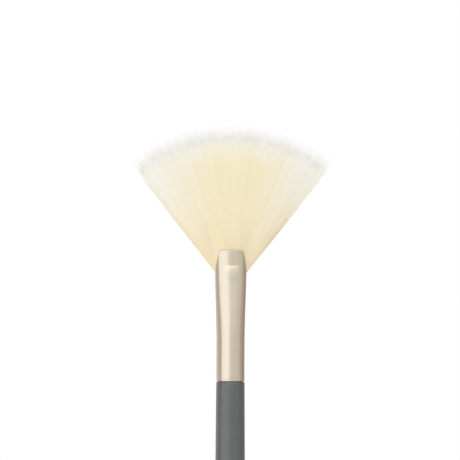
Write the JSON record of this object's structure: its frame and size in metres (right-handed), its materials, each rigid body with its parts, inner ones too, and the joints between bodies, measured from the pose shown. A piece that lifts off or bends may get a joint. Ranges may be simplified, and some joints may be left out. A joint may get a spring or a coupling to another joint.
{
  "type": "fan makeup brush",
  "caption": "Fan makeup brush: a flat spread of soft cream hair held in a champagne satin ferrule with a notched oval mouth, on a round tapered matte grey handle. The hair bends.",
  "frame": {"origin": "centre of the flat face at the tail of the handle", "axes": "+Z along the handle towards the hair, +X across the width of the fan, the flat front of the fan faces -Y"},
  "size_m": [0.0474, 0.0076, 0.18],
  "materials": {
    "handle_lacquer": "turned birch in matte grey lacquer",
    "ferrule_metal": "champagne anodised, fine satin brushing",
    "adhesive": "cured clear amber adhesive",
    "thread": "wound cotton thread",
    "hair": "soft cream filaments, paler towards the tips"
  },
  "bodies": {
    "brush": {"handle": "handle_lacquer", "ferrule": "ferrule_metal", "tenon_glue_1": "adhesive", "tenon_glue_2": "adhesive", "tenon_glue_3": "adhesive", "epoxy_plug": "adhesive", "knot_binding": "thread", "tuft_root": "hair"},
    "fan": {"front_lock_1": "hair", "front_lock_2": "hair", "front_lock_3": "hair", "front_lock_4": "hair", "front_lock_5": "hair", "front_lock_6": "hair", "front_lock_7": "hair", "front_lock_8": "hair", "front_lock_9": "hair", "core_lock_1": "hair", "core_lock_2": "hair", "core_lock_3": "hair", "core_lock_4": "hair", "core_lock_5": "hair", "core_lock_6": "hair", "core_lock_7": "hair", "core_lock_8": "hair", "core_lock_9": "hair", "core_lock_10": "hair", "rear_lock_1": "hair", "rear_lock_2": "hair", "rear_lock_3": "hair", "rear_lock_4": "hair", "rear_lock_5": "hair", "rear_lock_6": "hair", "rear_lock_7": "hair", "rear_lock_8": "hair", "rear_lock_9": "hair"}
  },
  "joints": [
    {"name": "fan_flex", "type": "hinge", "parent": "brush", "child": "fan", "pos_m": [0, 0, 0.15305], "axis": [1, 0, 0], "range_deg": [-35, 35], "stiffness_Nm_per_rad": 0.007}
  ]
}
